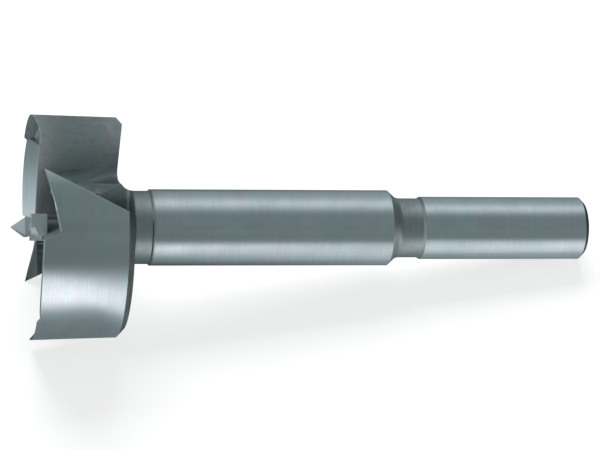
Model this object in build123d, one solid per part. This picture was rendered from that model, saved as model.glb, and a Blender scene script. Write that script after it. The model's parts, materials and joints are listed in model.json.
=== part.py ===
from build123d import *
from math import acos, atan, atan2, cos, degrees, hypot, radians, sin, tan
import os

# A two-wing forstner bit, turned and ground from one bar of tool steel.
# It is drawn along X, with the plane of its rim at x = 0 and its shank towards +X.
# Angles round the axis start at -Y and grow towards +Z, which is the way the bit turns.
# Wing A fills the quarter at +Y and +Z, and wing B is the same form half a turn round.
# At the end the bit is laid on its side, as it comes to rest on a bench.

# Cutting head
cutting_diameter = 35.0
rim_land_length = 12.8
rim_back_taper = 0.3
rear_chamfer_length = 1.05
rear_chamfer_height = 1.1
rear_dish_angle = 2.0
head_fillet = 2.2

# Turned stem behind the head
head_neck_diameter = 11.5
head_neck_end = 18.0
body_step_length = 0.2
body_diameter = 12.0
body_end = 56.4
body_shoulder_angle = 42.0
shank_neck_diameter = 9.46
shank_neck_fillet = 1.7
shank_start = 61.9
shank_step_length = 0.4
shank_diameter = 10.0
shank_end = 89.0
shank_end_chamfer = 0.65

# Front face of a wing: a plane that falls back towards the middle of the bit
flank_depth_at_axis = 1.75
flank_side_slope = 0.09
flank_up_slope = 0.05

# Back wall of a wing: a flat that leans out over the axial plane at the rim
wall_foot = 7.8
wall_lean = 28.2

# Raised scoring ridge on the last stretch of each rim, and the hollow ground inside it
ridge_height = 0.35
ridge_width = 3.6
ridge_sweep = 40.6
hollow_depth = 1.15
hollow_edge_height = 12.7
hollow_edge_tilt = 9.0

# Rim spur that runs ahead of each wing, and the notch behind its point
rim_wall = 1.9
spur_angle = 30.2
spur_setback = 0.25
spur_bevel_angle = 45.0
spur_back_angle = 27.2
spur_front_angle = 16.2
spur_knee_drop = 5.05
spur_foot_angle = 11.2
edge_drop = 1.95
rake_angle = 26.2

# Chip gullets, and the web and core that are left between them
web_thickness = 3.8
core_diameter = 3.2
core_taper_start = 4.0
gullet_end = 15.3
gullet_end_fillet = 1.0

# Boss that carries the centre point
boss_width = 3.6
boss_height = 4.2
boss_root = 2.1
flare_root = 1.62
flare_radius = 2.9
boss_neck_diameter = 2.6

# Centre point: a four-sided point with a relieved neck
point_length = 3.5
point_shoulder = 1.28
point_width = 2.73
point_neck = 0.6
point_turn = -10.0

# Worked-out sizes
cutting_radius = cutting_diameter / 2
land_end_radius = cutting_radius - rim_back_taper
rear_corner_x = rim_land_length + rear_chamfer_length
rear_corner_radius = land_end_radius - rear_chamfer_height
head_neck_radius = head_neck_diameter / 2
body_radius = body_diameter / 2
shank_neck_radius = shank_neck_diameter / 2
shank_radius = shank_diameter / 2
shank_chamfer_x = shank_end - shank_end_chamfer
shoulder_height = body_radius - shank_neck_radius
shoulder_x = body_end + shoulder_height / tan(radians(body_shoulder_angle))
rear_dish_depth = (rear_corner_radius - head_neck_radius) * tan(radians(rear_dish_angle))
rear_face_x = rear_corner_x - rear_dish_depth
gullet_radius = cutting_radius - rim_wall
web_half = web_thickness / 2
spur_radius = cutting_radius - rim_back_taper * spur_setback / rim_land_length
spur_height = spur_radius * sin(radians(spur_angle))
wall_distance = wall_foot * cos(radians(wall_lean))
wall_top = wall_foot / tan(radians(wall_lean))
reach = cutting_diameter
clear = cutting_radius / 5


def prism(corners, side):
    """A block with the given outline in X and Z that fills one side of the axial plane."""
    outline = make_face(Polyline(*[(x, 0, z) for x, z in corners], close=True))
    return extrude(outline, reach, dir=(0, side, 0))


def ring_sector(section, start, sweep):
    """A section drawn on the -Y side, turned through part of a circle round the axis."""
    return Rot(-start, 0, 0) * revolve(section, Axis((0, 0, 0), (-1, 0, 0)), sweep)


def both_wings(shape):
    """A cut or a piece of one wing, with its copy half a turn round."""
    return [shape, Rot(180, 0, 0) * shape]


def wing_quarter():
    """The space that wing A stands in: a quarter, and the strip where its wall leans over."""
    quarter = Pos(-clear, 0, 0) * Box(
        2 * reach, reach, reach, align=(Align.MIN, Align.MIN, Align.MIN)
    )
    strip = Pos(-clear, 0, wall_top) * Box(
        2 * reach, clear, reach, align=(Align.MIN, Align.MAX, Align.MIN)
    )
    return quarter + strip


def wall_angle(radius):
    """The angle round the axis at which wing A's back wall reaches a radius."""
    return 180 - wall_lean - degrees(acos(wall_distance / radius))


def behind_wall():
    """The part of space behind wing A's back wall."""
    block = Box(4 * reach, 2 * reach, 4 * reach, align=(Align.CENTER, Align.MIN, Align.CENTER))
    return Pos(0, wall_foot, 0) * Rot(wall_lean, 0, 0) * block


def turned_blank():
    """The bar as it leaves the lathe."""
    front = Polyline(
        (-ridge_height, 0),
        (-ridge_height, cutting_radius),
        (0, cutting_radius),
        (rim_land_length, land_end_radius),
        (rear_corner_x, rear_corner_radius),
        (rear_face_x, head_neck_radius),
        (head_neck_end, head_neck_radius),
        (head_neck_end + body_step_length, body_radius),
        (body_end, body_radius),
        (shoulder_x, shank_neck_radius),
        (shank_start - shank_step_length, shank_neck_radius),
        (shank_start, shank_radius),
        (shank_chamfer_x, shank_radius),
        (shank_end, shank_radius - shank_end_chamfer),
        (shank_end, 0),
        close=True,
    )
    section = make_face(front)
    head_corner = section.vertices().sort_by_distance((rear_face_x, head_neck_radius))[0]
    section = fillet(head_corner, head_fillet)
    neck_corner = section.vertices().sort_by_distance((shoulder_x, shank_neck_radius))[0]
    wall = shoulder_height / sin(radians(body_shoulder_angle))
    widest_fillet = 0.9 * wall / tan(radians(body_shoulder_angle / 2))
    section = fillet(neck_corner, min(shank_neck_fillet, widest_fillet))
    return revolve(section, Axis.X)


def facet_cut(depth_at_axis, side_slope, up_slope):
    """What lies in front of a sloping facet on wing A's front."""
    face = Plane(origin=(depth_at_axis, 0, 0), z_dir=(-1, -side_slope, -up_slope))
    slab = face * Box(
        2 * reach, 2 * reach, reach, align=(Align.CENTER, Align.CENTER, Align.MIN)
    )
    return slab & wing_quarter()


def hollow_cut():
    """The shallow hollow inside the scoring ridge of wing A."""
    block = Box(
        clear + hollow_depth, reach, reach, align=(Align.MIN, Align.CENTER, Align.MIN)
    )
    block = Pos(-clear, 0, hollow_edge_height) * Rot(hollow_edge_tilt, 0, 0) * block
    return block & wing_quarter()


def scoring_ridge():
    """The sharp ridge on wing A's rim, hollow ground on its inner side."""
    height = hollow_depth + ridge_height
    hollow_radius = (height**2 + ridge_width**2) / (2 * height)
    half_turn = atan2(ridge_width, hollow_radius - height) / 2
    inner = cutting_radius - ridge_width
    middle = (
        hollow_depth - hollow_radius * (1 - cos(half_turn)),
        inner + hollow_radius * sin(half_turn),
    )
    top = (-ridge_height, cutting_radius)
    foot = (hollow_depth, inner)
    hollow = ThreePointArc(*[(x, -radius) for x, radius in (top, middle, foot)])
    back = Polyline(
        (hollow_depth, -inner),
        (2 * hollow_depth, -inner),
        (2 * hollow_depth, -cutting_radius),
        (-ridge_height, -cutting_radius),
    )
    section = make_face([hollow, back])
    return ring_sector(section, wall_angle(cutting_radius), ridge_sweep)


def rake_height(x):
    """Height of the sloping rake face of wing B, x behind the rim's plane."""
    return x * tan(radians(rake_angle)) - edge_drop


def back_height(x):
    """Height of the long sloping back of the spur on wing B."""
    return spur_height - (x - spur_setback) * tan(radians(spur_back_angle))


def spur_front():
    """The front of the spur from the notch in the rake face, past the knee, to the point."""
    lean = tan(radians(spur_foot_angle))
    rise = tan(radians(rake_angle))
    knee_x = spur_setback + spur_knee_drop * tan(radians(spur_front_angle))
    knee_height = spur_height - spur_knee_drop
    notch_x = (knee_x + lean * (knee_height + edge_drop)) / (1 + lean * rise)
    return [
        (notch_x, rake_height(notch_x)),
        (knee_x, knee_height),
        (spur_setback, spur_height),
    ]


def gullet_pocket():
    """The chip space over the rake face of wing B, inside the rim."""
    web_start = (web_half + edge_drop) / tan(radians(rake_angle))
    outline = [
        (-clear, rake_height(-clear)),
        (web_start, web_half),
        (gullet_end, web_half),
        (gullet_end, reach),
        (-clear, reach),
    ]
    pocket = prism(outline, -1)
    end_edge = pocket.edges().filter_by(Axis.Z).sort_by_distance((gullet_end, 0, reach / 2))[0]
    pocket = fillet(end_edge, gullet_end_fillet)
    inside = Rot(0, 90, 0) * Cylinder(gullet_radius, 4 * reach)
    return pocket & inside


def gullet_mouth():
    """The gap in the rim over the spur of wing B, down to the rake face in front of it."""
    outline = [
        (-clear, rake_height(-clear)),
        *spur_front(),
        (rear_corner_x, back_height(rear_corner_x)),
        (rear_corner_x, reach),
        (-clear, reach),
    ]
    return prism(outline, -1)


def spur_bevel():
    """The inner bevel that brings the spur of wing B to a sharp point."""
    run = rim_wall / tan(radians(spur_bevel_angle))
    outline = Polyline(
        (spur_setback - clear, -gullet_radius),
        (spur_setback + run, -gullet_radius),
        (spur_setback, -cutting_radius),
        (spur_setback - clear, -cutting_radius),
        close=True,
    )
    return ring_sector(make_face(outline), 0, 2 * spur_angle)


def boss_flare():
    """The trumpet-shaped foot between the centre point and the front faces."""
    neck_radius = boss_neck_diameter / 2
    throat_x = flare_root - flare_radius
    foot_radius = neck_radius + flare_radius
    foot_x = flare_root + flare_radius
    arc = CenterArc((throat_x, foot_radius), flare_radius, 270, 90)
    rest = Polyline(
        (flare_root, foot_radius),
        (foot_x, foot_radius + flare_radius),
        (foot_x, 0),
        (throat_x, 0),
        (throat_x, neck_radius),
    )
    return revolve(make_face([arc, rest]), Axis.X)


def tapered_core():
    """The core on wing A's side, which widens towards the neck."""
    root_radius = head_neck_radius + head_fillet / 2
    section = Polyline(
        (core_taper_start, 0),
        (core_taper_start, core_diameter / 2),
        (rear_face_x, root_radius),
        (rear_corner_x + clear, root_radius),
        (rear_corner_x + clear, 0),
        close=True,
    )
    return revolve(make_face(section), Axis.X)


def wall_relief():
    """What wing A's leaning back wall leaves open beyond the axial plane."""
    room = Pos(-clear, 0, web_half) * Box(
        clear + rear_corner_x, reach, reach, align=(Align.MIN, Align.MIN, Align.MIN)
    )
    return room - behind_wall() - tapered_core()


def kept_core():
    """The block under the centre point and the slim core behind it, which no gullet cuts."""
    length = boss_root + flare_radius
    boss = Pos(boss_root, 0, 0) * Box(
        length, boss_width, boss_height, align=(Align.MAX, Align.CENTER, Align.CENTER)
    )
    core = Rot(0, 90, 0) * Cylinder(
        core_diameter / 2, gullet_end, align=(Align.CENTER, Align.CENTER, Align.MIN)
    )
    return boss + core


def point_section(x, width):
    return Pos(x, 0, 0) * Rot(point_turn, 0, 0) * Rot(0, 90, 0) * Rectangle(width, width)


def centre_point():
    shoulder = point_section(-point_shoulder, point_width)
    neck = point_section(-point_neck, boss_neck_diameter)
    tip = Vertex(-point_length, 0, 0)
    point = loft([tip, shoulder.face()], ruled=True)
    return point + loft([shoulder, neck], ruled=True)


def forstner_bit():
    flank = facet_cut(flank_depth_at_axis, flank_side_slope, flank_up_slope)
    bit = turned_blank()
    bit -= both_wings(flank)
    bit -= both_wings(hollow_cut())
    bit += both_wings(scoring_ridge())
    bit += boss_flare()
    gullet = gullet_pocket() + gullet_mouth() + spur_bevel() - behind_wall()
    gullet = gullet + wall_relief() - kept_core()
    bit -= both_wings(gullet)
    return bit + centre_point()


def resting_turns():
    """The turn about X and the tilt about Y that bring the bit down on its side.

    It rests on three places: the spur point of wing A, the back corner of wing B's
    trailing edge, and the end of the shank. The floor touches all three.
    """
    spur_at = radians(180 + spur_angle)
    trail_at = radians(180 + wall_angle(land_end_radius))
    spur_arm = shank_chamfer_x - spur_setback
    trail_arm = shank_chamfer_x - rim_land_length
    across = spur_radius * cos(spur_at) * trail_arm - land_end_radius * cos(trail_at) * spur_arm
    along = spur_radius * sin(spur_at) * trail_arm - land_end_radius * sin(trail_at) * spur_arm
    offset = shank_radius * (trail_arm - spur_arm)
    down = atan2(along, across) + acos(offset / hypot(across, along))
    tilt = atan((spur_radius * cos(spur_at - down) - shank_radius) / spur_arm)
    return degrees(down) - 270, degrees(tilt)


def laid_down(bit):
    """Turns and tilts the bit and sets the middle of its box over the origin."""
    turn, tilt = resting_turns()
    lying = Rot(0, tilt, 0) * Rot(turn, 0, 0)
    box = (lying * bit).bounding_box()
    place = Pos(-box.center().X, -box.center().Y, -box.min.Z) * lying
    return place * bit, place


os.makedirs("parts", exist_ok=True)
bit, place = laid_down(forstner_bit())
bit.label = "forstner_bit"
export_step(bit, "parts/forstner_bit.step")

shank_middle = (place * Pos((shank_start + shank_chamfer_x) / 2, 0, 0)).position
shank_way = (place * Pos(shank_end, 0, 0)).position - (place * Pos(0, 0, 0)).position
print("turn and tilt", resting_turns())
print("shank middle", shank_middle, "way", shank_way.normalized())
print("shank length", shank_chamfer_x - shank_start)
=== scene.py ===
import json
import math

import bmesh
import bpy
from mathutils import Matrix, Vector


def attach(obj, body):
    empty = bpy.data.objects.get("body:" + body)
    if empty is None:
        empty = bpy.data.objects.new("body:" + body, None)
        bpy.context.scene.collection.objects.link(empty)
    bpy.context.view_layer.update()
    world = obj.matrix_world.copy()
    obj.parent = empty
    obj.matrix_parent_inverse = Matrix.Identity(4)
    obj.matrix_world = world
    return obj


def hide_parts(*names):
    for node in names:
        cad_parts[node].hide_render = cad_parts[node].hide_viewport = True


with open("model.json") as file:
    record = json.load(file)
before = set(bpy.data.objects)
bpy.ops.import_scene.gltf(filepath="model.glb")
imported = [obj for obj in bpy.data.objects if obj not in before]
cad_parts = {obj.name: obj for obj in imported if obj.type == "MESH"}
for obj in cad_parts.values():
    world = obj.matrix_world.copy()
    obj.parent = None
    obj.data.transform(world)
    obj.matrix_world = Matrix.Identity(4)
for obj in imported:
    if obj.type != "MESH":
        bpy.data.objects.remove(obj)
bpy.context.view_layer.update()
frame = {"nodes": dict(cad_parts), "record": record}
mm = 0.001
touching = 1e-6     # m; points closer than this are one
print("frame loaded")

# The bit's own axis, read from the shank mount; everything else is placed along it
bitPlace = {
    "shankMiddle": 75.125,  # mm from the rim's plane to the mount
    "restTurn": -36.951,    # degrees the bit has rolled about its own axis
}
shankMount = [m for m in frame["record"]["mounts"] if m["name"] == "shank"][0]
alongBit = Vector(shankMount["axis"]).normalized()
rimCentre = Vector(shankMount["pos_m"]) - alongBit * bitPlace["shankMiddle"] * mm
levelUp = Vector((-alongBit.z, 0, alongBit.x))
turn = math.radians(bitPlace["restTurn"])
nearSide = Vector((0, -1, 0)) * math.cos(turn) - levelUp * math.sin(turn)
pictureUp = Vector((0, -1, 0)) * math.sin(turn) + levelUp * math.cos(turn)
toBit = Matrix((alongBit, -nearSide, pictureUp)).to_4x4() @ Matrix.Translation(-rimCentre)


def addObject(name, data):
    made = bpy.data.objects.new(name, data)
    bpy.context.scene.collection.objects.link(made)
    return made


# Camera, matched to the photograph
view = {
    "along": -38.5,      # mm, measured from the rim's centre
    "distance": 386.6,   # mm, square to the bit's axis
    "rise": 0.42,        # mm above the axis
    "yaw": 11.82,        # degrees towards the shank
    "roll": 0.10,        # degrees
    "lens": 149.34,      # mm
    "sensor": 36,        # mm
    "nearest": 0.01,     # m
}


def addCamera(v):
    yaw = math.radians(v["yaw"])
    roll = math.radians(v["roll"])
    forward = math.sin(yaw) * alongBit - math.cos(yaw) * nearSide
    right = math.cos(yaw) * alongBit + math.sin(yaw) * nearSide
    rolledRight = math.cos(roll) * right + math.sin(roll) * pictureUp
    rolledUp = math.cos(roll) * pictureUp - math.sin(roll) * right
    spot = rimCentre + (v["along"] * alongBit + v["distance"] * nearSide + v["rise"] * pictureUp) * mm
    data = bpy.data.cameras.new("camera")
    data.lens = v["lens"]
    data.sensor_width = v["sensor"]
    data.clip_start = v["nearest"]
    camera = addObject("camera", data)
    turned = Matrix((rolledRight, rolledUp, -forward)).transposed().to_4x4()
    camera.matrix_world = Matrix.Translation(spot) @ turned
    bpy.context.scene.camera = camera


addCamera(view)
print("camera set")


def feed(tree, socket, value):
    if isinstance(value, bpy.types.NodeSocket):
        tree.links.new(value, socket)
    else:
        socket.default_value = value


def node(tree, kind, place, **inputs):
    made = tree.nodes.new(kind)
    made.location = place
    for name, value in inputs.items():
        feed(tree, made.inputs[name.replace("_", " ")], value)
    return made


def maths(tree, kind, place, *values):
    made = node(tree, "ShaderNodeMath", place)
    made.operation = kind
    for socket, value in zip(made.inputs, values):
        feed(tree, socket, value)
    return made.outputs[0]


def mapped(tree, place, value, limits, results=(0, 1)):
    made = node(tree, "ShaderNodeMapRange", place, Value=value, From_Min=limits[0],
                From_Max=limits[1], To_Min=results[0], To_Max=results[1])
    return made.outputs[0]


def blendColour(tree, place, share, first, second):
    made = node(tree, "ShaderNodeMix", place)
    made.data_type = "RGBA"
    for at, value in ((0, share), (6, first), (7, second)):     # the sockets of a colour mix
        feed(tree, made.inputs[at], value)
    return made.outputs[2]


def multiplied(tree, place, first, second):
    product = blendColour(tree, place, 1.0, first, second)
    product.node.blend_type = "MULTIPLY"
    return product


def blendShader(tree, place, share, first, second):
    made = node(tree, "ShaderNodeMixShader", place)
    for socket, value in zip(made.inputs, (share, first.outputs[0], second.outputs[0])):
        feed(tree, socket, value)
    return made.outputs[0]


def newMaterial(name):
    made = bpy.data.materials.new(name)
    made.use_nodes = True
    made.node_tree.nodes.clear()
    return made, made.node_tree


def bitCoordinates(tree):
    spot = node(tree, "ShaderNodeTexCoord", (-1600, 0))
    turned = node(tree, "ShaderNodeMapping", (-1400, 0), Vector=spot.outputs["Object"])
    turned.inputs["Rotation"].default_value = toBit.to_3x3().to_euler()
    turned.inputs["Location"].default_value = toBit.to_translation()
    return turned.outputs[0]


def stretched(tree, source, place, scale):
    made = node(tree, "ShaderNodeMapping", place, Vector=source)
    made.inputs["Scale"].default_value = scale
    return made.outputs[0]


# Steel finishes, and two looks that paint shade into the steel's colour: streaks run round the axis,
# and their scale is given per metre
groundLook = {
    "light": (0.83, 0.84, 0.86, 1),
    "dark": (0.70, 0.715, 0.735, 1),
    "edge": (0.85, 0.87, 0.89, 1),
    "roughness": (0.19, 0.27),
    "streaks": (9000, 160, 160),
    "mottle": 260,
    "bump": 0.15,
    "edgeRadius": 0.00012,
}
turnedLook = {
    "light": (0.57, 0.575, 0.575, 1),
    "dark": (0.44, 0.445, 0.44, 1),
    "edge": (0.74, 0.74, 0.74, 1),
    "roughness": (0.34, 0.46),
    "streaks": (5200, 90, 90),
    "mottle": 420,
    "bump": 0.28,
    "edgeRadius": 0.00012,
}
milledLook = {
    "light": (0.72, 0.715, 0.72, 1),
    "dark": (0.56, 0.56, 0.555, 1),
    "edge": (0.80, 0.80, 0.80, 1),
    "roughness": (0.34, 0.48),
    "streaks": (700, 2600, 700),
    "mottle": 900,
    "bump": 0.16,
    "edgeRadius": 0.00014,
}
oxideLook = {
    "light": (0.20, 0.20, 0.20, 1),
    "dark": (0.10, 0.10, 0.105, 1),
    "edge": (0.60, 0.60, 0.60, 1),
    "roughness": (0.30, 0.45),
    "streaks": (5200, 90, 90),
    "mottle": 500,
    "bump": 0.20,
    "edgeRadius": 0.00010,
}
pointLook = {
    "light": (0.90, 0.90, 0.90, 1),
    "dark": (0.80, 0.80, 0.80, 1),
    "edge": (0.95, 0.95, 0.95, 1),
    "roughness": (0.50, 0.62),
    "streaks": (900, 2600, 900),
    "mottle": 600,
    "bump": 0.12,
    "edgeRadius": 0.00008,
}
# Painted shade: a dark steel laid on the head's hollows where they lie in shade
paintedShadeLook = {
    "light": (0.22, 0.23, 0.24, 1),
    "dark": (0.15, 0.16, 0.17, 1),
    "edge": (0.80, 0.80, 0.80, 1),
    "roughness": (0.30, 0.42),
    "streaks": (700, 2600, 700),
    "mottle": 520,
    "bump": 0.15,
    "edgeRadius": 0.00010,
}
# Painted shade on the wing roots, where they run into the neck in shade; a little lighter than that
# in the hollows
rootPaintedShadeLook = dict(paintedShadeLook, light=(0.44, 0.45, 0.46, 1), dark=(0.32, 0.33, 0.34, 1))

# What every finish and painted shade shares
anySteel = {
    "streakDetail": 3.0,
    "streakRoughness": 0.6,
    "mottleDetail": 4.0,
    "streakShare": 0.6,               # the grain is these shares of both, moved by its base
    "mottleShare": 0.8,
    "grainBase": -0.1,
    "grainRange": (0.35, 0.85),       # from light and smooth to dark and rough
    "tintScale": (330, 45, 45),       # per metre, as the streaks
    "tintDetail": 2.0,
    "tintRange": (0.35, 0.65),
    "warm": (1.0, 0.965, 0.98, 1),
    "cool": (0.945, 1.0, 0.99, 1),
    # painted shade: the milled steel darkens to this colour towards the axis, deep in the gullets
    "axisShade": (0.33, 0.35, 0.34, 1),
    "axisShadeReach": (0.0038, 0.0072),   # m out from the axis, where the gullets end
    "edgeSamples": 6,
    "edgeRange": (0.995, 0.86),       # how far the rounded normal agrees with the face's own
    "edgeWearAndGlint": 0.7,
    "bumpDepth": 0.00003,             # m
}


# Painted shade deep in the gullets: darker towards the axis
def axisShadeOf(tree, onBit):
    parts = node(tree, "ShaderNodeSeparateXYZ", (-1000, 900), Vector=onBit)
    square = maths(tree, "MULTIPLY", (-800, 800), parts.outputs[2], parts.outputs[2])
    square = maths(tree, "MULTIPLY_ADD", (-600, 900), parts.outputs[1], parts.outputs[1], square)
    radius = maths(tree, "SQRT", (-400, 900), square)
    unshaded = mapped(tree, (-200, 900), radius, anySteel["axisShadeReach"])
    return blendColour(tree, (0, 800), unshaded, anySteel["axisShade"], (1, 1, 1, 1))


# Lighter edges: partly wear, partly a painted highlight along the edges
def wearAndGlintOf(tree, rounded):
    flat = node(tree, "ShaderNodeNewGeometry", (-800, -700))
    facing = node(tree, "ShaderNodeVectorMath", (-600, -500))
    facing.operation = "DOT_PRODUCT"
    feed(tree, facing.inputs[0], rounded)
    feed(tree, facing.inputs[1], flat.outputs["Normal"])
    rubbedAndGlinting = mapped(tree, (-400, -500), facing.outputs["Value"], anySteel["edgeRange"])
    return maths(tree, "MULTIPLY", (-200, -500), rubbedAndGlinting, anySteel["edgeWearAndGlint"])


def steel(name, look, shadedNearAxis=False):
    s = anySteel
    material, tree = newMaterial(name)
    onBit = bitCoordinates(tree)
    streaks = node(tree, "ShaderNodeTexNoise", (-1000, 200), Detail=s["streakDetail"],
                   Roughness=s["streakRoughness"], Scale=1.0,
                   Vector=stretched(tree, onBit, (-1200, 200), look["streaks"]))
    mottle = node(tree, "ShaderNodeTexNoise", (-1000, -200), Scale=look["mottle"],
                  Detail=s["mottleDetail"], Vector=onBit)
    grain = maths(tree, "MULTIPLY_ADD", (-800, 0), streaks.outputs[0], s["streakShare"],
                  s["grainBase"])
    grain = maths(tree, "MULTIPLY_ADD", (-600, 0), mottle.outputs[0], s["mottleShare"], grain)
    darkness = mapped(tree, (-400, 0), grain, s["grainRange"])
    body = blendColour(tree, (-200, 0), darkness, look["light"], look["dark"])
    drift = node(tree, "ShaderNodeTexNoise", (-1000, 600), Detail=s["tintDetail"], Scale=1.0,
                 Vector=stretched(tree, onBit, (-1200, 600), s["tintScale"]))
    coolness = mapped(tree, (-800, 600), drift.outputs[0], s["tintRange"])
    tint = blendColour(tree, (-600, 600), coolness, s["warm"], s["cool"])
    body = multiplied(tree, (-50, 200), body, tint)
    # painted shade near the axis, on the milled steel only
    if shadedNearAxis:
        body = multiplied(tree, (100, 300), body, axisShadeOf(tree, onBit))
    bevel = node(tree, "ShaderNodeBevel", (-800, -500), Radius=look["edgeRadius"])
    bevel.samples = s["edgeSamples"]
    rounded = bevel.outputs[0]
    # edges take the lighter edge colour: wear and a painted highlight
    colour = blendColour(tree, (0, 0), wearAndGlintOf(tree, rounded), body, look["edge"])
    gloss = mapped(tree, (-200, -250), grain, s["grainRange"], look["roughness"])
    relief = node(tree, "ShaderNodeBump", (0, -350), Strength=look["bump"], Distance=s["bumpDepth"],
                  Height=grain, Normal=rounded)
    shader = node(tree, "ShaderNodeBsdfPrincipled", (300, 0), Base_Color=colour, Roughness=gloss,
                  Metallic=1.0, Normal=relief.outputs[0])
    node(tree, "ShaderNodeOutputMaterial", (600, 0), Surface=shader.outputs[0])
    return material


finishesAndShades = {
    "ground": steel("groundSteel", groundLook),
    "turned": steel("turnedSteel", turnedLook),
    "milled": steel("milledSteel", milledLook, shadedNearAxis=True),
    "oxide": steel("oxideEdge", oxideLook),
    "hollow": steel("paintedShadeSteel", paintedShadeLook),
    "point": steel("pointSteel", pointLook),
    "root": steel("rootPaintedShadeSteel", rootPaintedShadeLook),
}

# Cutting head: the CAD mesh up to the step where the body begins. Lengths are in mm, back from the
# rim's front or out from the axis; a lean is the share of a face's normal that looks back or out
headShape = {
    "cut": 18.0,
    "cutSlack": 1e-7,               # m
    "sharpAngle": 25,               # degrees
    "pointBack": 2.2,
    "pointRadius": 2.9,
    "bevelBack": 1.0,               # the bevelled points of the spurs
    "bevelLean": -0.2,
    "flatBack": 2.0,                # the ground front of each wing
    "flatInside": 4.2,
    "spurRoot": 2.5,                # how far back a spur reaches into the rim
    "spurProud": (0.001, 0.07),     # how far its root stands proud
    "innerBack": 6.0,               # where the shade on the rim's inner side ends
    "innerLean": -0.5,
    "ridgeInside": 13.4,            # where the scoring ridge's hollow begins
    "wallInside": 15.6,             # radius of the rim wall's inner side
    "wallSlack": 0.02,              # how near a corner is to count as on the wall or neck
    "rimRadius": (17.5, 17.2),
    "rimInside": 16.6,
    "rimBack": 12.8,                # where the ground rim ends
    "rimSlack": (0.03, 0.01),       # out and back
    "chamferBack": 13.85,
    "chamferInside": 14.6,
    "chamferLean": (0.2, 0.95),
    "filletBack": 15.5,             # where the dark of the neck's fillet ends
    "filletRadius": 9.0,
    "filletLean": 0.04,
    "neckRadius": 5.75,
    "turnedLean": 0.3,
    "straight": 0.97,               # looks straight ahead or back
    "sideways": 0.9,                # looks straight out or in
}


def headFinishOrShade(h, middle, normal):
    along, radius = middle.x, math.hypot(middle.y, middle.z)
    outward = (normal.y * middle.y + normal.z * middle.z) / max(radius, touching)
    onRing = radius > h["ridgeInside"]
    leans = abs(normal.x) < h["straight"]
    if along < h["pointBack"] and radius < h["pointRadius"]:
        return "point"
    # "hollow" is painted shade: the rim's inner side, the neck's fillet and the spurs' bevels are
    # darkened where they lie in shade
    if along < h["innerBack"] and onRing and outward < h["innerLean"]:
        return "hollow"
    if h["rimBack"] < along < h["filletBack"] and radius < h["filletRadius"] and leans:
        return "hollow" if normal.x > h["filletLean"] else "milled"
    onBevel = leans and normal.x < h["bevelLean"] and abs(outward) < h["sideways"]
    if along < h["bevelBack"] and onRing and onBevel:
        return "hollow"
    if along < h["rimBack"] and radius > h["rimInside"] and outward > h["sideways"]:
        return "ground"
    onChamfer = radius > h["chamferInside"] and h["chamferLean"][0] < outward < h["chamferLean"][1]
    if h["rimBack"] <= along <= h["chamferBack"] and onChamfer:
        return "oxide"
    if along > h["rimBack"] and outward > h["turnedLean"] or along > h["chamferBack"]:
        return "turned"
    if along < h["flatBack"] and radius > h["flatInside"] and normal.x < -h["straight"]:
        return "ground"
    return "milled"


def rimLeanOf(h):
    return math.atan((h["rimRadius"][0] - h["rimRadius"][1]) / h["rimBack"])


def rimAt(h, along):
    return h["rimRadius"][0] - max(along, 0) * math.tan(rimLeanOf(h))


# A spur's root stands a hair proud of the rim's taper in the CAD mesh
def flushSpurs(h, mesh):
    least, most = h["spurProud"]
    for vert in mesh.verts:
        radius = math.hypot(vert.co.y, vert.co.z) / mm
        flush = rimAt(h, vert.co.x / mm)
        if vert.co.x < h["spurRoot"] * mm and least < radius - flush < most:
            vert.co.yz *= flush / radius
    bmesh.ops.remove_doubles(mesh, verts=mesh.verts, dist=touching)
    bmesh.ops.dissolve_degenerate(mesh, edges=mesh.edges, dist=touching)


# The rim, its inner wall and the neck take the normals of true cones and cylinders
def trueNormals(h, mesh):
    normals = [Vector(c.vector) for c in mesh.corner_normals]
    spots = [v.co / mm for v in mesh.vertices]
    radii = [math.hypot(p.y, p.z) for p in spots]
    outSlack, backSlack = h["rimSlack"]
    for face in mesh.polygons:
        around = [(spots[i], radii[i]) for i in face.vertices]
        onRim = all(abs(radius - rimAt(h, spot.x)) < outSlack and spot.x < h["rimBack"] + backSlack
                    for spot, radius in around)
        onNeck = all(abs(radius - h["neckRadius"]) < h["wallSlack"] for spot, radius in around)
        inWall = all(abs(radius - h["wallInside"]) < h["wallSlack"] for spot, radius in around)
        if not (onRim or onNeck or inWall):
            continue
        outward = [spot.yz.normalized().dot(face.normal.yz) for spot, radius in around]
        if min(abs(o) for o in outward) < h["sideways"]:
            continue
        lean = rimLeanOf(h) if onRim else 0
        way = 1 if outward[0] > 0 else -1
        for corner in face.loop_indices:
            away = spots[mesh.loops[corner].vertex_index].yz.normalized()
            leaned = Vector((math.sin(lean), away.x * math.cos(lean), away.y * math.cos(lean)))
            normals[corner] = way * leaned
    mesh.normals_split_custom_set(normals)


def smoothUpTo(sharpAngle, mesh):
    for face in mesh.faces:
        face.smooth = True
    for edge in mesh.edges:
        edge.smooth = edge.calc_face_angle(0) < math.radians(sharpAngle)


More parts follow.
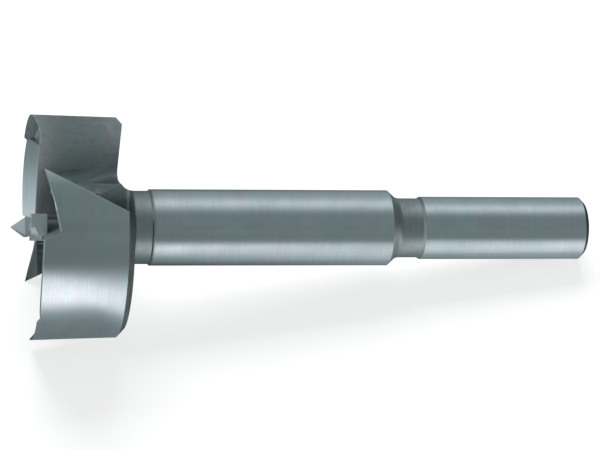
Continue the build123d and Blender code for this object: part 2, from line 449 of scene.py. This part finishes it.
def cuttingHead(h):
    solid = frame["nodes"]["forstner_bit"]
    data = solid.data.copy()
    data.transform(solid.matrix_world)
    data.transform(toBit)
    data.name = "cuttingHead"
    data.materials.clear()
    mesh = bmesh.new()
    mesh.from_mesh(data)
    bmesh.ops.remove_doubles(mesh, verts=mesh.verts, dist=touching)
    flushSpurs(h, mesh)
    everything = mesh.verts[:] + mesh.edges[:] + mesh.faces[:]
    cut = bmesh.ops.bisect_plane(mesh, geom=everything, dist=h["cutSlack"],
                                 plane_co=(h["cut"] * mm, 0, 0), plane_no=(1, 0, 0), clear_outer=True)
    ring = [e for e in cut["geom_cut"] if isinstance(e, bmesh.types.BMEdge)]
    bmesh.ops.holes_fill(mesh, edges=ring)
    mesh.normal_update()
    smoothUpTo(h["sharpAngle"], mesh)
    order = list(finishesAndShades)
    for face in mesh.faces:
        face.material_index = order.index(headFinishOrShade(h, face.calc_center_median() / mm, face.normal))
    mesh.to_mesh(data)
    mesh.free()
    for finish in order:
        data.materials.append(finishesAndShades[finish])
    trueNormals(h, data)
    data.transform(toBit.inverted())
    return addObject("cuttingHead", data)


head = cuttingHead(headShape)
print("cutting head", len(head.data.polygons), "faces")

# Turned stem: one outline swept round the axis, in mm along the bit and out from it
stemShape = {
    "body": [(18.0, 0), (18.0, 5.75), (18.2, 6.0), (19.3, 6.0), (56.4, 6.0)],
    "shank": [(61.5, 4.73), (61.9, 5.0), (88.35, 5.0), (89.0, 4.35), (89.0, 0)],
    "shoulderAngle": 42.0,  # degrees, where the body runs down to the neck
    "shoulderFillet": 1.7,
    "shoulderSteps": 8,
    "neckRadius": 4.73,
    "roundSteps": 160,
    "rowLength": 1.5,       # mm between the rows of the sweep
    "ringRowLength": 0.08,  # the same where there are rings
    "ringPitch": 0.32,      # mm between the lathe's rings on what is left unground
    "ringDepth": 0.004,
    "ringRun": 5.0,         # a level run shorter than this is left unground
    "groundBody": (18.45, 56.4),
    "groundShank": (61.9, 88.35),
    "chamferTo": 88.95,
    "sharpAngle": 25.0,
}


def stemOutline(s):
    lean = math.radians(s["shoulderAngle"])
    startAlong, startOut = s["body"][-1]
    cornerAlong = startAlong + (startOut - s["neckRadius"]) / math.tan(lean)
    endAlong = cornerAlong + s["shoulderFillet"] * math.tan(lean / 2)
    shoulder = []
    for step in range(s["shoulderSteps"] + 1):
        swing = lean * (1 - step / s["shoulderSteps"])
        shoulder.append((endAlong - s["shoulderFillet"] * math.sin(swing),
                         s["neckRadius"] + s["shoulderFillet"] * (1 - math.cos(swing))))
    points = s["body"] + shoulder + s["shank"]
    fine = [points[0]]
    for first, second in zip(points, points[1:]):
        length = math.dist(first, second)
        unground = first[1] == second[1] and length < s["ringRun"]
        count = max(1, round(length / (s["ringRowLength"] if unground else s["rowLength"])))
        for step in range(1, count + 1):
            share = step / count
            fine.append(tuple(a + share * (b - a) for a, b in zip(first, second)))
    return fine


def stemTree():
    tree = bpy.data.node_groups.new("turnedStem", "GeometryNodeTree")
    face = tree.interface
    face.new_socket("Geometry", in_out="INPUT", socket_type="NodeSocketGeometry")
    names = ["Round Steps", "Ring Pitch", "Ring Depth", "Body From", "Body To", "Shank From",
             "Shank To", "Chamfer To", "Sharp Angle"]
    for name in names:
        kind = "NodeSocketInt" if name == "Round Steps" else "NodeSocketFloat"
        face.new_socket(name, in_out="INPUT", socket_type=kind)
    for name in ("Ground", "Turned", "Oxide"):
        face.new_socket(name, in_out="INPUT", socket_type="NodeSocketMaterial")
    face.new_socket("Geometry", in_out="OUTPUT", socket_type="NodeSocketGeometry")
    given = node(tree, "NodeGroupInput", (-1800, 0))
    outline = given.outputs["Geometry"]
    rows = node(tree, "GeometryNodeAttributeDomainSize", (-1600, 200), Geometry=outline)
    columns = maths(tree, "ADD", (-1600, 0), given.outputs["Round Steps"], 1)
    sheet = node(tree, "GeometryNodeMeshGrid", (-1400, 200), Vertices_X=rows.outputs["Point Count"],
                 Vertices_Y=columns)
    index = node(tree, "GeometryNodeInputIndex", (-1600, -200)).outputs[0]
    row = maths(tree, "FLOOR", (-1200, -200), maths(tree, "DIVIDE", (-1400, -200), index, columns))
    column = maths(tree, "SUBTRACT", (-1200, -400), index,
                   maths(tree, "MULTIPLY", (-1200, -300), row, columns))
    place = node(tree, "GeometryNodeInputPosition", (-1400, -500)).outputs[0]
    taken = node(tree, "GeometryNodeSampleIndex", (-1000, -100), Geometry=outline)
    taken.data_type = "FLOAT_VECTOR"
    tree.links.new(place, taken.inputs["Value"])
    tree.links.new(row, taken.inputs["Index"])
    parts = node(tree, "ShaderNodeSeparateXYZ", (-800, -100), Vector=taken.outputs[0])
    along, out = parts.outputs[0], parts.outputs[1]

    def between(spot, first, second, at):
        over = maths(tree, "GREATER_THAN", at, spot, given.outputs[first])
        under = maths(tree, "LESS_THAN", (at[0], at[1] - 150), spot, given.outputs[second])
        return maths(tree, "MULTIPLY", (at[0] + 150, at[1]), over, under)

    def groundAt(spot, at):
        onBody = between(spot, "Body From", "Body To", at)
        onShank = between(spot, "Shank From", "Shank To", (at[0], at[1] - 300))
        return maths(tree, "ADD", (at[0] + 300, at[1]), onBody, onShank)

    wave = maths(tree, "SINE", (-500, -300), maths(tree, "MULTIPLY", (-600, -300), along,
                 maths(tree, "DIVIDE", (-700, -300), 2 * math.pi, given.outputs["Ring Pitch"])))
    depth = maths(tree, "MULTIPLY", (-350, -300), wave, given.outputs["Ring Depth"])
    bare = maths(tree, "SUBTRACT", (-350, -500), 1, groundAt(along, (-800, -500)))
    sunk = maths(tree, "MULTIPLY", (-200, -400), maths(tree, "SUBTRACT", (-350, -400), depth,
                 given.outputs["Ring Depth"]), bare)
    solid = maths(tree, "GREATER_THAN", (-350, -650), out, mm)     # the flat ends' centres stay put
    reach = maths(tree, "ADD", (-50, -300), out, maths(tree, "MULTIPLY", (-120, -450), sunk, solid))
    angle = maths(tree, "MULTIPLY", (-500, -1000), column,
                  maths(tree, "DIVIDE", (-600, -1000), 2 * math.pi, given.outputs["Round Steps"]))
    side = maths(tree, "MULTIPLY", (100, -400), reach, maths(tree, "COSINE", (-200, -1000), angle))
    rise = maths(tree, "MULTIPLY", (100, -600), reach, maths(tree, "SINE", (-200, -1100), angle))
    wrapped = node(tree, "ShaderNodeCombineXYZ", (250, -300), X=along, Y=side, Z=rise)
    swept = node(tree, "GeometryNodeSetPosition", (400, 200), Geometry=sheet.outputs[0],
                 Position=wrapped.outputs[0])
    closed = node(tree, "GeometryNodeMergeByDistance", (550, 200), Geometry=swept.outputs[0],
                  Distance=touching)
    bend = node(tree, "GeometryNodeInputMeshEdgeAngle", (550, -100)).outputs[0]
    sharp = maths(tree, "LESS_THAN", (700, -100), bend, given.outputs["Sharp Angle"])
    smooth = node(tree, "GeometryNodeSetShadeSmooth", (850, 200), Geometry=closed.outputs[0])
    smooth.domain = "EDGE"
    tree.links.new(sharp, smooth.inputs["Shade Smooth"])
    whole = node(tree, "GeometryNodeRealizeInstances", (1000, 200), Geometry=smooth.outputs[0])
    middle = node(tree, "ShaderNodeSeparateXYZ", (700, -400), Vector=place).outputs[0]
    wherever = {
        "Turned": None,     # all over, and the other two are laid on it
        "Ground": groundAt(middle, (850, -500)),
        "Oxide": between(middle, "Shank To", "Chamfer To", (850, -1100)),
    }
    geometry = whole.outputs[0]
    for at, (name, chosen) in enumerate(wherever.items()):
        dressed = node(tree, "GeometryNodeSetMaterial", (1200 + 200 * at, 200), Geometry=geometry,
                       Material=given.outputs[name])
        if chosen is not None:
            tree.links.new(chosen, dressed.inputs["Selection"])
        geometry = dressed.outputs[0]
    result = node(tree, "NodeGroupOutput", (1900, 200))
    tree.links.new(geometry, result.inputs[0])
    return tree


def turnedStem(s):
    fine = stemOutline(s)
    data = bpy.data.meshes.new("stemOutline")
    data.from_pydata([(along * mm, out * mm, 0) for along, out in fine],
                     [(i, i + 1) for i in range(len(fine) - 1)], [])
    base = addObject("stemOutline", data)
    sweep = base.modifiers.new("turnedStem", "NODES")
    sweep.node_group = stemTree()
    values = {
        "Round Steps": s["roundSteps"],
        "Ring Pitch": s["ringPitch"] * mm,
        "Ring Depth": s["ringDepth"] * mm,
        "Body From": s["groundBody"][0] * mm,
        "Body To": s["groundBody"][1] * mm,
        "Shank From": s["groundShank"][0] * mm,
        "Shank To": s["groundShank"][1] * mm,
        "Chamfer To": s["chamferTo"] * mm,
        "Sharp Angle": math.radians(s["sharpAngle"]),
        "Ground": finishesAndShades["ground"],
        "Turned": finishesAndShades["turned"],
        "Oxide": finishesAndShades["oxide"],
    }
    for item in sweep.node_group.interface.items_tree:
        if item.in_out == "INPUT" and item.name in values:
            sweep[item.identifier] = values[item.name]
    bpy.context.view_layer.update()
    swept = bpy.data.meshes.new_from_object(base.evaluated_get(bpy.context.evaluated_depsgraph_get()))
    bpy.data.objects.remove(base)
    swept.name = "turnedStem"
    mesh = bmesh.new()
    mesh.from_mesh(swept)
    bmesh.ops.recalc_face_normals(mesh, faces=mesh.faces)
    mesh.to_mesh(swept)
    mesh.free()
    swept.transform(toBit.inverted())
    return addObject("turnedStem", swept)


stem = turnedStem(stemShape)
print("turned stem", len(stem.data.polygons), "faces")

# Roots of the wings: each gullet's wall runs out into the neck in a hollow curve
rootShape = {
    "start": 3.0,                 # mm along the bit, where a root leaves the wall
    "back": 13.56,                # the plane of the wings' backs
    "hollow": [(0.4, 6.72), (0.9, 6.95), (1.35, 7.2), (1.75, 7.5), (2.1, 7.85), (2.4, 8.25),
               (2.62, 8.7), (2.75, 9.1), (2.77, 9.5)],            # mm across and up
    "buried": [(4.2, 9.5), (5.2, 6.4), (3.0, 5.2), (0.4, 5.2)],   # the same, inside the head
    "wallLine": (7.80, -0.537),   # the wall's place across, from its height
    "wallDepth": 0.1,             # how deep in the wall a root starts
    "filletCentre": (15.77, 7.95),    # mm along and out, of the neck's fillet
    "filletRadius": 2.2,
    "steps": 12,
    "sharpAngle": 60,             # degrees
}


def wingRoots(r):
    def backAt(across, up):
        centre, radius = r["filletCentre"], r["filletRadius"]
        below = centre[1] - math.hypot(across, up)
        return centre[0] - math.sqrt(radius ** 2 - below ** 2) if 0 < below < radius else r["back"]

    def ringAt(share, side):
        points = []
        for across, up in r["hollow"] + r["buried"]:
            inWall = max(across, r["wallLine"][0] + r["wallLine"][1] * up + r["wallDepth"])
            along = r["start"] + share * (backAt(across, up) - r["start"])
            moved = inWall + share * (across - inWall)
            points.append(mesh.verts.new((along, side * moved, side * up)))
        return points

    mesh = bmesh.new()
    for side in (1, -1):
        rings = [ringAt(step / r["steps"], side) for step in range(r["steps"] + 1)]
        for ahead, behind in zip(rings, rings[1:]):
            for i in range(len(ahead)):
                after = (i + 1) % len(ahead)
                mesh.faces.new((ahead[i], ahead[after], behind[after], behind[i]))
        mesh.faces.new(rings[0])
        mesh.faces.new(rings[-1])
    bmesh.ops.recalc_face_normals(mesh, faces=mesh.faces)
    smoothUpTo(r["sharpAngle"], mesh)
    bmesh.ops.scale(mesh, vec=(mm, mm, mm), verts=mesh.verts)
    data = bpy.data.meshes.new("wingRoots")
    mesh.to_mesh(data)
    mesh.free()
    # the roots take painted shade as their colour
    data.materials.append(finishesAndShades["root"])
    data.transform(toBit.inverted())
    return addObject("wingRoots", data)


roots = wingRoots(rootShape)
print("wing roots", len(roots.data.polygons), "faces")

for piece in (head, stem, roots):
    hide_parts("forstner_bit")
    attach(piece, "root")

# Floor, world, lamps, and glowing sheets that only the steel's reflections see: painted reflections
# of a studio round the bit, with a painted shadow of the bit where it meets the floor
studio = {
    "floorSize": 6.0,                      # m
    "paper": (0.92, 0.93, 0.94, 1),
    "shadowShare": 0.25,                   # how much of the paper's own shade shows
    "roomGrey": (0.42, 0.43, 0.43, 1),     # what lights the bit from all round
    "cardEnds": (-0.25, -0.034, -0.026, 0.045, 0.25),   # m along
    "acrossAt": (0, 0, 1, 2, 2),           # which of a row's places across each end has
    "toneAt": (0, 1, 2, 3, 3),             # and which of its tones
    "darkTint": (0.70, 0.91, 0.94),
    "lightTint": (0.90, 0.94, 0.98),
    "leftEnd": 0.52,                       # tones of the cards that close the two sides
    "rightEnd": 0.16,
    "card": [  # m across by the head, body and shank, m up, and the tone from left to right
        # the low tones in the rows nearest the bit paint its shadow on the floor, as the steel
        # reflects it
        ((0.0, 0.0, 0.0), 0.0006, (0.30, 0.15, 0.08, 0.14)),
        ((-0.0190, -0.0068, -0.0058), 0.0006, (0.36, 0.27, 0.26, 0.50)),
        ((-0.0240, -0.0100, -0.0075), 0.0006, (0.45, 0.42, 0.33, 0.82)),
        ((-0.0275, -0.0140, -0.0110), 0.0006, (0.60, 0.80, 0.54, 0.95)),
        ((-0.0310, -0.0190, -0.0170), 0.0006, (0.90, 1.15, 0.80, 0.85)),
        ((-0.0360, -0.0270, -0.0270), 0.0006, (1.00, 1.30, 1.00, 0.58)),
        ((-0.0490, -0.0380, -0.0400), 0.0006, (1.00, 1.25, 0.94, 0.38)),
        ((-0.0720, -0.0560, -0.0600), 0.0006, (0.85, 1.04, 0.56, 0.30)),
        ((-0.110, -0.090, -0.090), 0.0006, (0.60, 0.74, 0.32, 0.24)),
        ((-0.240, -0.200, -0.200), 0.0006, (0.45, 0.40, 0.15, 0.24)),
        ((-0.300, -0.300, -0.300), 0.020, (0.45, 0.40, 0.10, 0.24)),
        ((-0.270, -0.270, -0.270), 0.130, (0.45, 0.40, 0.10, 0.26)),
        ((-0.251, -0.251, -0.251), 0.165, (0.44, 0.40, 0.13, 0.26)),
        ((-0.245, -0.245, -0.245), 0.173, (0.44, 0.40, 0.04, 0.24)),
        ((-0.224, -0.224, -0.224), 0.200, (0.44, 0.40, 0.04, 0.24)),
        ((-0.216, -0.216, -0.216), 0.207, (0.44, 0.38, 0.13, 0.26)),
        ((-0.150, -0.150, -0.150), 0.260, (0.30, 0.28, 0.08, 0.25)),
        ((-0.050, -0.050, -0.050), 0.296, (0.20, 0.20, 0.12, 0.26)),
        ((0.020, 0.020, 0.020), 0.300, (0.36, 0.34, 0.26, 0.46)),
        ((0.100, 0.100, 0.100), 0.283, (0.60, 0.60, 0.54, 0.76)),
        ((0.160, 0.160, 0.160), 0.254, (0.54, 0.54, 0.44, 0.72)),
        ((0.220, 0.220, 0.220), 0.204, (0.32, 0.32, 0.28, 0.48)),
        ((0.270, 0.270, 0.270), 0.130, (0.24, 0.22, 0.19, 0.40)),
        ((0.300, 0.300, 0.300), 0.020, (0.20, 0.20, 0.16, 0.34)),
        ((0.240, 0.140, 0.140), 0.0006, (0.15, 0.15, 0.14, 0.30)),
        ((0.052, 0.030, 0.030), 0.0006, (0.18, 0.18, 0.18, 0.26)),
        ((0.040, 0.024, 0.024), 0.0006, (0.30, 0.30, 0.24, 0.26)),
        ((0.031, 0.018, 0.018), 0.0006, (0.55, 0.55, 0.16, 0.18)),
        ((0.022, 0.014, 0.014), 0.0006, (0.72, 0.72, 0.12, 0.14)),
        ((0.017, 0.008, 0.008), 0.0006, (0.40, 0.30, 0.08, 0.10)),
    ],
    "key": {"spot": (0.0, 0.5, 0.55), "size": (0.5, 0.5), "power": 9.5},
}


# The camera and reflections see plain white, and only what lights the bit is darker
def seenRays(tree):
    path = node(tree, "ShaderNodeLightPath", (-600, 300))
    return maths(tree, "MAXIMUM", (-400, 300), path.outputs["Is Camera Ray"],
                 path.outputs["Is Glossy Ray"])


def addFloor(s):
    half = s["floorSize"] / 2
    corners = [(-half, -half, 0), (half, -half, 0), (half, half, 0), (-half, half, 0)]
    data = bpy.data.meshes.new("floor")
    data.from_pydata(corners, [], [(0, 1, 2, 3)])
    material, tree = newMaterial("paperFloor")
    paper = node(tree, "ShaderNodeBsdfDiffuse", (0, 0), Color=s["paper"])
    white = node(tree, "ShaderNodeEmission", (0, -200), Strength=1.0)
    lift = maths(tree, "MULTIPLY", (-200, 300), seenRays(tree), 1 - s["shadowShare"])
    both = blendShader(tree, (300, 0), lift, paper, white)
    node(tree, "ShaderNodeOutputMaterial", (600, 0), Surface=both)
    data.materials.append(material)
    addObject("floor", data)


def addWorld(s):
    world = bpy.data.worlds.new("studio")
    bpy.context.scene.world = world
    world.use_nodes = True
    tree = world.node_tree
    tree.nodes.clear()
    grey = node(tree, "ShaderNodeBackground", (0, 0), Color=s["roomGrey"], Strength=1.0)
    white = node(tree, "ShaderNodeBackground", (0, -200), Color=(1, 1, 1, 1), Strength=1.0)
    both = blendShader(tree, (300, 0), seenRays(tree), grey, white)
    node(tree, "ShaderNodeOutputWorld", (600, 0), Surface=both)


def addReflectionGlow(s):
    rows = s["card"] + s["card"][:1]    # the loop closes under the bit
    ends = s["cardEnds"]
    width = len(ends)
    spots = [(end, row[0][k], row[1]) for row in rows for end, k in zip(ends, s["acrossAt"])]
    tones = [row[2][k] for row in rows for k in s["toneAt"]]
    sides = [(width * i + j, width * i + j + 1, width * i + width + j + 1, width * i + width + j)
             for i in range(len(rows) - 1) for j in range(width - 1)]
    for j, tone in ((0, s["leftEnd"]), (width - 1, s["rightEnd"])):
        first = len(spots)
        spots += [spots[width * i + j] for i in range(len(rows))]
        tones += [tone] * len(rows)
        sides.append(tuple(range(first, first + len(rows))))
    data = bpy.data.meshes.new("glowingReflectionSheets")
    data.from_pydata(spots, [], sides)
    shade = data.attributes.new("shade", "FLOAT_COLOR", "POINT")
    for i, tone in enumerate(tones):
        share = min(tone, 1) ** 2
        tint = [dark + share * (light - dark) for dark, light in zip(s["darkTint"], s["lightTint"])]
        shade.data[i].color = [tone * part for part in tint] + [1]
    # glowing sheets, not lamps: painted reflections seen only by the steel
    glowSheets = addObject("glowingReflectionSheets", data)
    material, tree = newMaterial("paintedReflectionGlow")
    source = node(tree, "ShaderNodeAttribute", (-300, 0))
    source.attribute_name = "shade"
    glow = node(tree, "ShaderNodeEmission", (0, 0), Color=source.outputs["Color"], Strength=1.0)
    node(tree, "ShaderNodeOutputMaterial", (300, 0), Surface=glow.outputs[0])
    data.materials.append(material)
    glowSheets.visible_camera = False
    glowSheets.visible_diffuse = False
    glowSheets.visible_shadow = False


def addLamp(name, s):
    data = bpy.data.lights.new(name, "AREA")
    data.shape = "RECTANGLE"
    data.size, data.size_y = s["size"]
    data.energy = s["power"]
    lamp = addObject(name, data)
    lamp.location = s["spot"]
    lamp.rotation_euler = Vector(s["spot"]).to_track_quat("Z", "Y").to_euler()
    lamp.visible_glossy = False


addFloor(studio)
addWorld(studio)
addReflectionGlow(studio)
addLamp("overheadKey", studio["key"])
bpy.context.scene.view_settings.view_transform = "Standard"
print("studio set")
